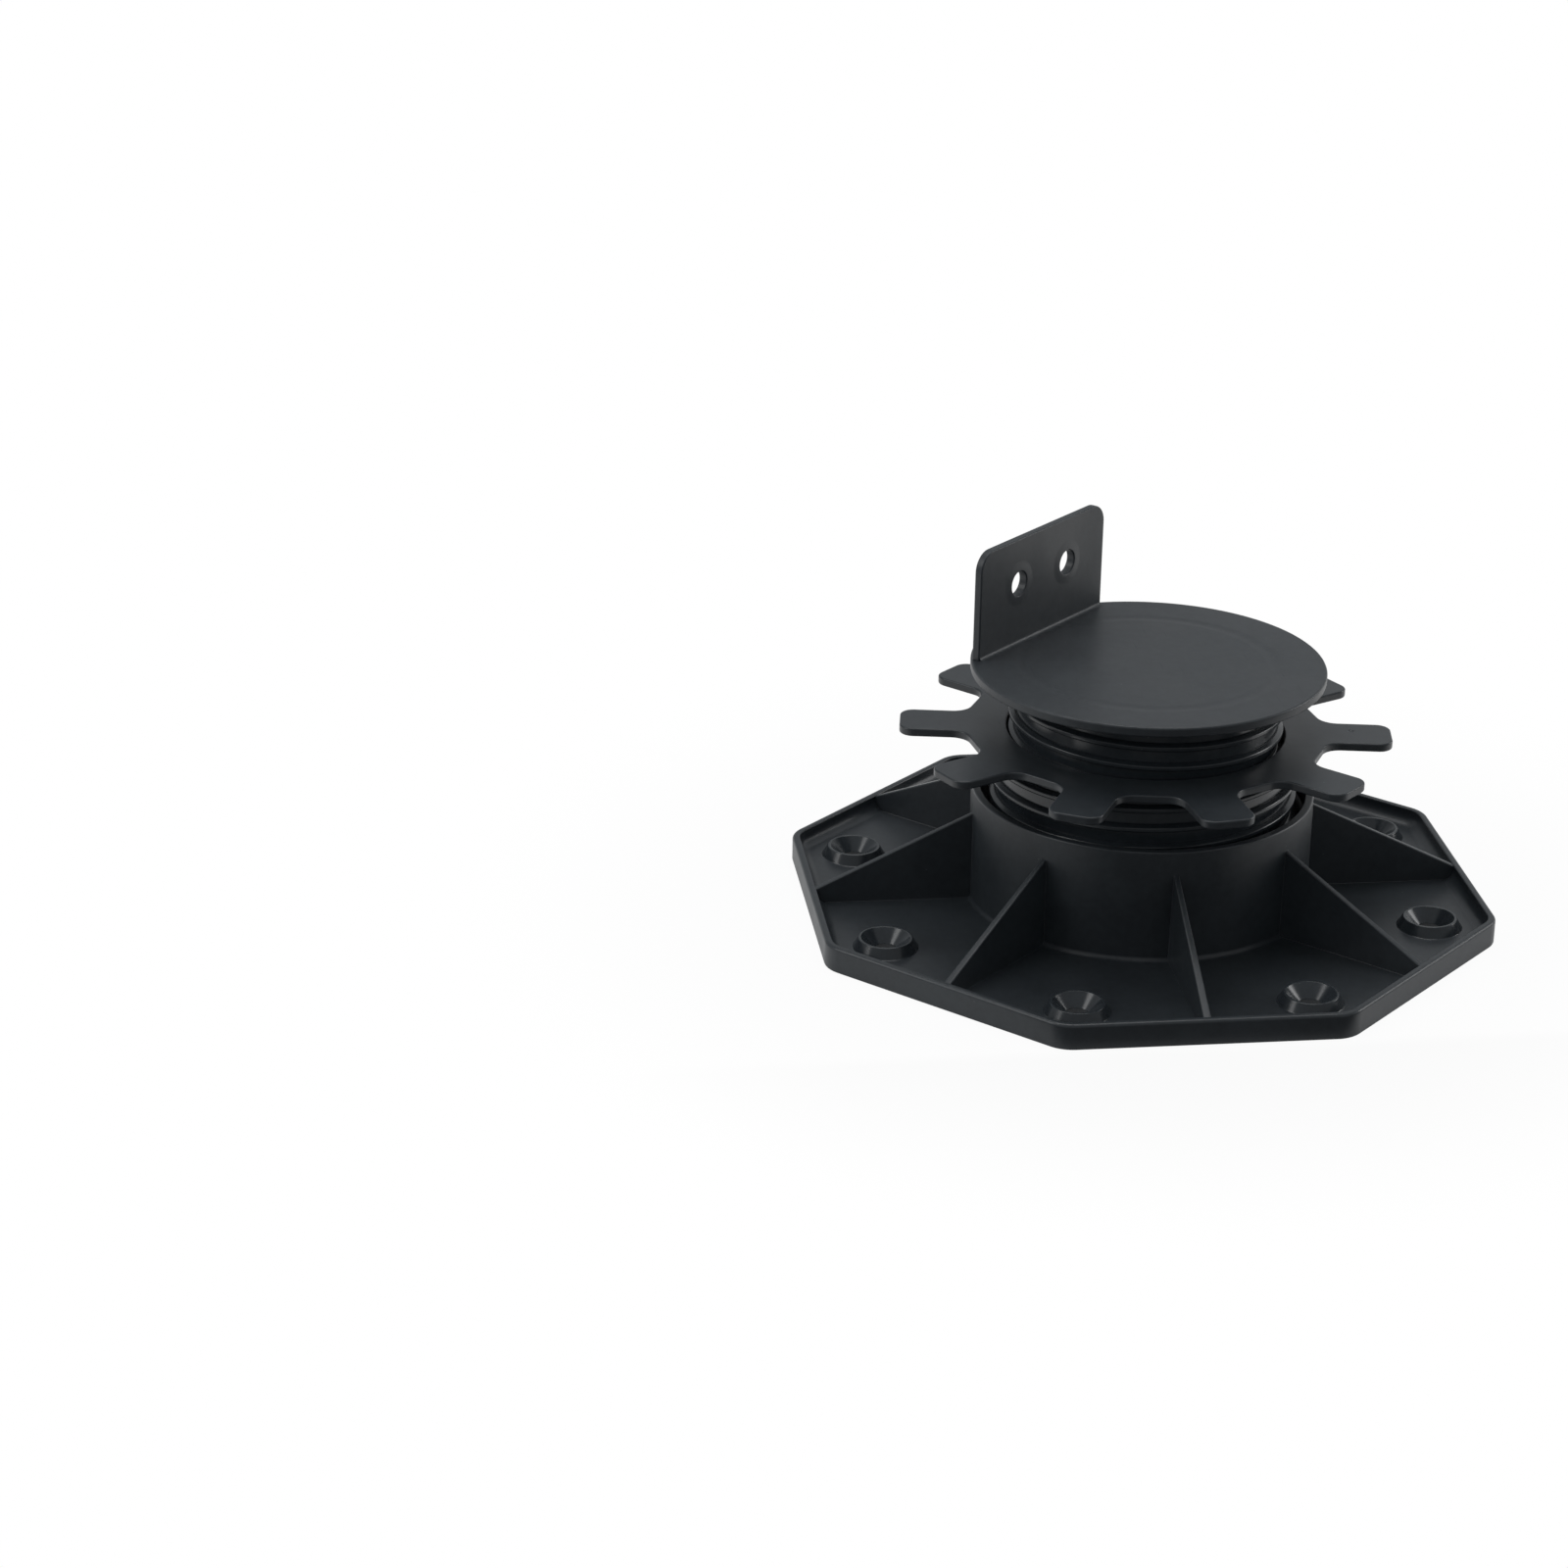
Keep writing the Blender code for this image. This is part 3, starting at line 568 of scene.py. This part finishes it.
def make_tab():
    """Upright plate square to +X with rounded top corners and rounded edges, and the cove along its foot."""
    inner_face = TAB_OUTER_DISTANCE - TAB_THICKNESS
    foot = DISC_THICKNESS / 2
    top = DISC_THICKNESS + TAB_HEIGHT

    def outline(inset, distance):
        side = TAB_WIDTH / 2 - inset
        crown = top - inset
        radius = TAB_CORNER_RADIUS - inset
        corners = [(-side, foot, 0.0), (side, foot, 0.0), (side, crown, radius), (-side, crown, radius)]
        return [(distance, point.x, point.y) for point in rounded(corners, 2 * ARC_STEPS)]

    loops = [outline(inset, inner_face + drop) for inset, drop in reversed(quarter_round(TAB_EDGE_RADIUS))]
    loops += [outline(inset, TAB_OUTER_DISTANCE - drop) for inset, drop in quarter_round(TAB_EDGE_RADIUS)]
    tab = lofted("tab", loops)

    cove_half = TAB_WIDTH / 2 - TAB_EDGE_RADIUS
    cove = [(inner_face + TUCK + EMBED, foot), (inner_face - TAB_FOOT_RADIUS, foot)]
    for inset, rise in reversed(quarter_round(TAB_FOOT_RADIUS)):
        cove.append((inner_face + TUCK - inset, DISC_THICKNESS - TUCK + rise))
    cove.append((inner_face + TUCK + EMBED, DISC_THICKNESS - TUCK + TAB_FOOT_RADIUS))
    strip = lofted("tab cove", [[(x, side, z) for x, z in cove] for side in (-cove_half, cove_half)])
    return tab, strip


def tab_hole_place(side):
    """Turns an upright axis into a hole's axis through the tab, from its inner face outwards."""
    middle = Vector((TAB_OUTER_DISTANCE - TAB_THICKNESS, side * TAB_HOLE_SPACING / 2,
                     DISC_THICKNESS + TAB_HOLE_HEIGHT))
    return Matrix.Translation(middle) @ Matrix.Rotation(math.pi / 2, 4, "Y")


def make_tab_hole(side):
    """Core for one hole of the tab, its mouth eased on both faces."""
    edge = TAB_EDGE_RADIUS
    radius = TAB_HOLE_RADIUS
    low = -TAB_SWELL_HEIGHT - TUCK
    high = TAB_THICKNESS - low
    outline = rounded([
        (0.0, -OVERSHOOT, 0.0), (radius + OVERSHOOT, -OVERSHOOT, 0.0), (radius + OVERSHOOT, low, 0.0),
        (radius, low, edge), (radius, high, edge), (radius + OVERSHOOT, high, 0.0),
        (radius + OVERSHOOT, TAB_THICKNESS + OVERSHOOT, 0.0), (0.0, TAB_THICKNESS + OVERSHOOT, 0.0)])
    hole = turned("tab hole", outline, BOSS_STEPS)
    hole.data.transform(tab_hole_place(side))
    return hole


def make_tab_swell(side):
    """Faint swelling of both faces round a hole, where the plastic flowed round the core and met behind it."""
    middle = TAB_THICKNESS / 2
    outline = [(0.0, -TAB_SWELL_HEIGHT)]
    for step in range(2 * ARC_STEPS + 1):
        share = step / (2 * ARC_STEPS)
        rise = TAB_SWELL_HEIGHT * (1 + math.cos(math.pi * share)) / 2
        outline.append((TAB_HOLE_RADIUS + share * (TAB_SWELL_RADIUS - TAB_HOLE_RADIUS), TUCK / 2 - rise))
    outline += [(TAB_SWELL_RADIUS, TUCK), (TAB_SWELL_RADIUS, middle)]
    mirrored = [(radius, TAB_THICKNESS - height) for radius, height in reversed(outline)]
    swell = turned("tab swelling", outline + mirrored, BOSS_STEPS)
    swell.data.transform(tab_hole_place(side))
    return swell


def make_head(finish):
    """Disc and hollow stem, with a faint sunk ring on top where the stem's wall joins below, then the tab."""
    top = DISC_THICKNESS
    sink_middle = STEM_ROOT_RADIUS - STEM_WALL / 2
    edge = DISC_EDGE_RADIUS
    sink = []
    for step in range(2 * ARC_STEPS + 1):
        share = step / ARC_STEPS - 1.0
        dip = SINK_RING_DEPTH * (1.0 + math.cos(math.pi * share)) / 2
        sink.append((sink_middle - share * SINK_RING_WIDTH / 2, top - dip, 0.0))
    head = turned("head_moulding", rounded([
        (0.0, 0.0, 0.0), (STEM_BORE_RADIUS, 0.0, edge), (STEM_BORE_RADIUS, -STEM_LENGTH, edge),
        (STEM_ROOT_RADIUS, -STEM_LENGTH, edge), (STEM_ROOT_RADIUS, 0.0, edge), (DISC_RADIUS, 0.0, edge),
        (DISC_RADIUS, top, edge), *sink, (0.0, top, 0.0)]))
    tab, cove = make_tab()
    combine(head, tab, "UNION")
    combine(head, cove, "UNION")
    for side in (-1, 1):
        combine(head, make_tab_swell(side), "UNION")
        combine(head, make_tab_hole(side), "DIFFERENCE")
    thread = make_thread("stem thread", STEM_ROOT_RADIUS, -STEM_LENGTH + DISC_EDGE_RADIUS, -DISC_EDGE_RADIUS,
                         False, STEM_THREAD_START, finish)
    combine(head, thread, "UNION")
    return plain(head, finish)


def moulded_polypropylene(name, dark, light, roughness, grain_depth, ripple_depth=0.005 * MM, cloud=0.05,
                          flow_rise=1.0):
    """Black polypropylene, injection moulded in an etched steel tool.

    The etched tool leaves a fine matt grain, flow in the mould leaves broad soft changes of gloss, and handling
    leaves hairline scuffs and a few specks of dust.  The grain is really 0.1 mm and is drawn at 0.5 mm to show.
    cloud is how far the flow changes the roughness, and flow_rise below 1 draws its clouds out upwards.
    """
    material = bpy.data.materials.new(name)
    material.use_nodes = True
    tree = material.node_tree
    tree.nodes.clear()
    place = add_node(tree, "ShaderNodeTexCoord").outputs["Object"]

    drawn_out = add_node(tree, "ShaderNodeMapping", {"Vector": place, "Scale": (1.0, 1.0, flow_rise)}).outputs[0]
    flow = add_node(tree, "ShaderNodeTexNoise", {"Vector": drawn_out, "Scale": 1 / FLOW_SPACING, "Detail": 3.0,
                                                "Roughness": 0.55}).outputs[0]
    mottle = add_node(tree, "ShaderNodeTexNoise", {"Vector": place, "Scale": 1 / MOTTLE_SPACING, "Detail": 4.0,
                                                  "Roughness": 0.6}).outputs[0]
    both = add_node(tree, "ShaderNodeMath", {0: flow, 1: mottle}, operation="ADD").outputs[0]
    shade = add_node(tree, "ShaderNodeMapRange", {"Value": both, "From Min": 0.75, "From Max": 1.25}).outputs[0]
    body = add_node(tree, "ShaderNodeMix", {"Factor": shade, 6: linear(dark), 7: linear(light)},
                    data_type="RGBA")

    cells = add_node(tree, "ShaderNodeTexVoronoi", {
        "Vector": place, "Scale": 1 / DUST_SPACING}).outputs["Distance"]
    speck = add_node(tree, "ShaderNodeMapRange", {"Value": cells, "From Min": 0.018, "From Max": 0.034,
                                                 "To Min": 0.35, "To Max": 0.0}).outputs[0]
    dusted = add_node(tree, "ShaderNodeMix", {"Factor": speck, 6: body.outputs[2], 7: linear(DUST)},
                      data_type="RGBA")

    stretch = add_node(tree, "ShaderNodeMapping", {"Vector": place, "Scale": (1.0, 0.06, 1.0),
                                                  "Rotation": (0.3, 0.2, 0.9)}).outputs[0]
    hairs = add_node(tree, "ShaderNodeTexNoise", {
        "Vector": stretch, "Scale": 1 / SCUFF_SPACING, "Detail": 2.0}).outputs[0]
    scuff = add_node(tree, "ShaderNodeMapRange", {"Value": hairs, "From Min": 0.66, "From Max": 0.78}).outputs[0]
    gloss = add_node(tree, "ShaderNodeMapRange", {
        "Value": flow, "From Min": 0.3, "From Max": 0.7,
        "To Min": roughness - cloud, "To Max": roughness + cloud}).outputs[0]
    rough = add_node(tree, "ShaderNodeMath", {0: scuff, 1: 0.06, 2: gloss}, operation="MULTIPLY_ADD").outputs[0]

    grain = add_node(tree, "ShaderNodeTexNoise", {"Vector": place, "Scale": 1 / GRAIN_SPACING, "Detail": 2.0,
                                                 "Roughness": 0.5}).outputs[0]
    peel = add_node(tree, "ShaderNodeBump", {
        "Height": mottle, "Strength": 1.0, "Distance": ripple_depth}).outputs[0]
    surface = add_node(tree, "ShaderNodeBump", {"Height": grain, "Strength": 1.0, "Distance": grain_depth,
                                               "Normal": peel}).outputs[0]
    shader = add_node(tree, "ShaderNodeBsdfPrincipled", {
        "Base Color": dusted.outputs[2], "Roughness": rough, "Metallic": 0.0, "IOR": 1.49, "Normal": surface})
    add_node(tree, "ShaderNodeOutputMaterial", {"Surface": shader.outputs[0]})
    return material


def refinish(item, finish, chosen):
    """Give another finish to the faces all of whose corners a rule chooses."""
    item.data.materials.append(finish)
    picked = {vertex.index for vertex in item.data.vertices if chosen(vertex.co)}
    for face in item.data.polygons:
        if picked.issuperset(face.vertices):
            face.material_index = len(item.data.materials) - 1


def on_a_boss(point):
    """Bosses and their countersinks, which polished inserts mould."""
    across = math.tau / BASE_SIDES
    nearest = HALF_SIDE_ANGLE + across * round((math.atan2(point.y, point.x) - HALF_SIDE_ANGLE) / across)
    centre = Vector((math.cos(nearest), math.sin(nearest), 0.0)) * SCREW_CIRCLE_RADIUS
    return point.z > TUCK and (point - centre).xy.length < BOSS_FOOT_RADIUS + BOSS_FILLET / 2


def on_the_sleeve(point):
    return point.z < -TUCK and point.xy.length > SLEEVE_ROOT_RADIUS - TUCK


def on_the_stem(point):
    return point.z < -TUCK and STEM_ROOT_RADIUS - TUCK < point.xy.length < STEM_CREST_RADIUS + TUCK


def on_the_tab(point):
    """The tab, down to the middle of the cove at its foot."""
    inside = point.x > TAB_OUTER_DISTANCE - TAB_THICKNESS - EMBED
    return inside and point.z > DISC_THICKNESS + TAB_FOOT_RADIUS / 2


def dress(item, body, node, place):
    """Put a moulding in its place, shade it, and let it stand for its CAD solid."""
    item.data.transform(place)
    item.data.shade_smooth()
    item.data.set_sharp_from_angle(angle=math.radians(35))
    weighted = item.modifiers.new("flat faces stay flat", "WEIGHTED_NORMAL")
    weighted.keep_sharp = True
    settle(item)
    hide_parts(node)
    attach(item, body)


def plain_paper(name, colour, painted_shade_colour, near_white, painted_gloss_shadow_level):
    """White paper, shaded in front of the object.

    The camera sees it as lit white, apart from a soft shadow near the object, where the lamps' shadow and the
    paper's painted shade in front show through.  The plastic's gloss sees it white too, with a painted shadow:
    darker close to the object and not at all in the painted shade in front.
    """
    material = bpy.data.materials.new(name)
    material.use_nodes = True
    tree = material.node_tree
    tree.nodes.clear()
    place = add_node(tree, "ShaderNodeTexCoord").outputs["Object"]
    depth = add_node(tree, "ShaderNodeSeparateXYZ", {"Vector": place}).outputs["Y"]
    # painted shade: the paper's colour darkens in front of the object, where the object's shadow falls
    front = add_node(tree, "ShaderNodeMapRange", {
        "Value": depth, "From Min": PAINTED_FRONT_SHADE[0], "From Max": PAINTED_FRONT_SHADE[1]},
        interpolation_type="SMOOTHSTEP").outputs[0]
    shade = add_node(tree, "ShaderNodeMix", {"Factor": front, 6: linear(colour), 7: linear(painted_shade_colour)},
                     data_type="RGBA")
    matt = add_node(tree, "ShaderNodeBsdfDiffuse", {"Color": shade.outputs[2]})
    bright = add_node(tree, "ShaderNodeEmission", {"Color": linear("#FFFFFF"), "Strength": 1.0})
    rays = add_node(tree, "ShaderNodeLightPath").outputs
    away = add_node(tree, "ShaderNodeVectorMath", {0: place}, operation="LENGTH").outputs["Value"]
    white = add_node(tree, "ShaderNodeMapRange", {
        "Value": away, "From Min": NEAR_SHADOW[0], "From Max": NEAR_SHADOW[1],
        "To Min": near_white, "To Max": 1.0},
        interpolation_type="SMOOTHSTEP").outputs[0]
    # painted shadow for reflections: the paper is seen darker close to the object
    gloss_white_with_painted_shadow = add_node(tree, "ShaderNodeMapRange", {
        "Value": away, "From Min": PAINTED_SHADOW_IN_GLOSS[0], "From Max": PAINTED_SHADOW_IN_GLOSS[1],
        "To Min": painted_gloss_shadow_level, "To Max": 1.0},
        interpolation_type="SMOOTHSTEP").outputs[0]
    # reflections see no white in the painted front shade
    open_side = add_node(tree, "ShaderNodeMath", {0: 1.0, 1: front}, operation="SUBTRACT").outputs[0]
    mirrored = add_node(tree, "ShaderNodeMath", {0: gloss_white_with_painted_shadow, 1: open_side}, operation="MULTIPLY").outputs[0]
    in_gloss = add_node(tree, "ShaderNodeMath", {0: rays["Is Glossy Ray"], 1: mirrored}, operation="MULTIPLY")
    share = add_node(tree, "ShaderNodeMath", {0: rays["Is Camera Ray"], 1: white, 2: in_gloss.outputs[0]},
                     operation="MULTIPLY_ADD")
    mixed = add_node(tree, "ShaderNodeMixShader", {0: share.outputs[0], 1: matt.outputs[0], 2: bright.outputs[0]})
    add_node(tree, "ShaderNodeOutputMaterial", {"Surface": mixed.outputs[0]})
    return material


def make_stage():
    """Pale floor that the pedestal stands on, under a white world."""
    bm = bmesh.new()
    corners = ((-1, -1), (1, -1), (1, 1), (-1, 1))
    bm.faces.new([bm.verts.new((x * FLOOR_HALF_SIZE, y * FLOOR_HALF_SIZE, 0.0)) for x, y in corners])
    floor = mesh_object("floor", bm)
    # 6E6E6E is the painted shade in front of the object; 0.45 is the painted shadow that reflections see beside it
    floor.data.materials.append(plain_paper("white studio paper with painted shade", "#E8E8E8", "#6E6E6E", 0.95, 0.45))

    world = bpy.data.worlds.new("studio")
    world.use_nodes = True
    tree = world.node_tree
    tree.nodes.clear()
    seen = add_node(tree, "ShaderNodeLightPath").outputs["Is Camera Ray"]
    way = add_node(tree, "ShaderNodeTexCoord").outputs["Generated"]
    ahead = add_node(tree, "ShaderNodeSeparateXYZ", {"Vector": way}).outputs["Y"]
    level_there = add_node(tree, "ShaderNodeMapRange", {
        "Value": ahead, "From Min": ROOM_CHANGE[0], "From Max": ROOM_CHANGE[1],
        "To Min": ROOM_LEVEL_IN_FRONT, "To Max": ROOM_LEVEL_BEHIND}, interpolation_type="SMOOTHSTEP").outputs[0]
    room = add_node(tree, "ShaderNodeBackground", {"Color": linear("#E9EDF0"), "Strength": level_there})
    white = add_node(tree, "ShaderNodeBackground", {"Color": linear("#FFFFFF"), "Strength": 1.0})
    mixed = add_node(tree, "ShaderNodeMixShader", {0: seen, 1: room.outputs[0], 2: white.outputs[0]})
    add_node(tree, "ShaderNodeOutputWorld", {"Surface": mixed.outputs[0]})
    bpy.context.scene.world = world


def softbox(name, place, target, size, power, colour="#FFFFFF"):
    data = bpy.data.lights.new(name, "AREA")
    data.shape = "RECTANGLE"
    data.size, data.size_y = size
    data.energy = power
    data.color = linear(colour)[:3]
    lamp = bpy.data.objects.new(name, data)
    lamp.location = place
    lamp.rotation_euler = (Vector(target) - Vector(place)).to_track_quat("-Z", "Y").to_euler()
    lamp.visible_camera = False
    bpy.context.scene.collection.objects.link(lamp)
    return lamp


def make_camera():
    """Camera at the photograph's viewing angle, with the pedestal in the right half of the frame."""
    data = bpy.data.cameras.new("camera")
    data.sensor_width = 36.0
    data.lens = FOCAL_LENGTH_IN_FRAMES * data.sensor_width
    camera = bpy.data.objects.new("camera", data)
    ahead = Vector((*CAMERA_HEADING, 0.0)).normalized()
    forward = ahead * math.cos(CAMERA_PITCH) - Vector((0, 0, 1)) * math.sin(CAMERA_PITCH)
    right = forward.cross(Vector((0, 0, 1))).normalized()
    up = right.cross(forward)
    tilted_right = right * math.cos(CAMERA_ROLL) + up * math.sin(CAMERA_ROLL)
    tilted_up = tilted_right.cross(forward)
    turn = Matrix((tilted_right, tilted_up, -forward)).transposed().to_4x4()
    camera.matrix_world = Matrix.Translation(CAMERA_PLACE) @ turn
    bpy.context.scene.collection.objects.link(camera)
    bpy.context.scene.camera = camera


AROUND = round_the_axis()
SCREW_THREAD = screw_thread()

base_finish = moulded_polypropylene("black polypropylene, base", "#272B2F", "#2F3438", 0.36, 0.003 * MM)
ring_finish = moulded_polypropylene("black polypropylene, ring", "#272B2F", "#2E3337", 0.34, 0.004 * MM)
head_finish = moulded_polypropylene("black polypropylene, grained", "#282C30", "#303539", 0.43, 0.008 * MM)
polished = moulded_polypropylene("black polypropylene, polished", "#272B2F", "#2E3337", 0.20, 0.0003 * MM,
                                 ripple_depth=0.001 * MM, cloud=0.03)
tab_finish = moulded_polypropylene("black polypropylene, tab", "#272B2F", "#2F3438", 0.40, 0.0003 * MM,
                                   ripple_depth=0.0004 * MM, cloud=0.11, flow_rise=0.4)

base_moulding = make_base(base_finish)
refinish(base_moulding, polished, on_a_boss)
dress(base_moulding, "base_body", "base", Matrix.Identity(4))

ring_moulding = make_ring(ring_finish)
refinish(ring_moulding, polished, on_the_sleeve)
dress(ring_moulding, "ring_body", "adjusting_ring",
      Matrix.Translation((0, 0, RING_GROUND)) @ Matrix.Rotation(RING_TURN, 4, "Z"))

head_moulding = make_head(head_finish)
refinish(head_moulding, polished, on_the_stem)
refinish(head_moulding, tab_finish, on_the_tab)
dress(head_moulding, "head_body", "head",
      Matrix.Translation((0, 0, DISC_GROUND)) @ Matrix.Rotation(HEAD_TURN, 4, "Z"))

make_stage()
softbox("overhead softbox", (0.0, 0.25, 1.15), (0.0, 0.0, 0.05), (0.7, 0.6), 3.6)
softbox("lit backdrop", (1.7, 1.9, 0.75), (0.0, 0.0, 0.10), (3.0, 1.3), 2.0)
softbox("left softbox", (-1.2, -0.12, 0.95), (0.0, 0.0, 0.04), (0.55, 0.9), 4.6)
softbox("right softbox", (1.2, 0.25, 0.5), (0.0, 0.0, 0.04), (0.45, 0.5), 2.6)
make_camera()
bpy.context.scene.view_settings.view_transform = "Standard"
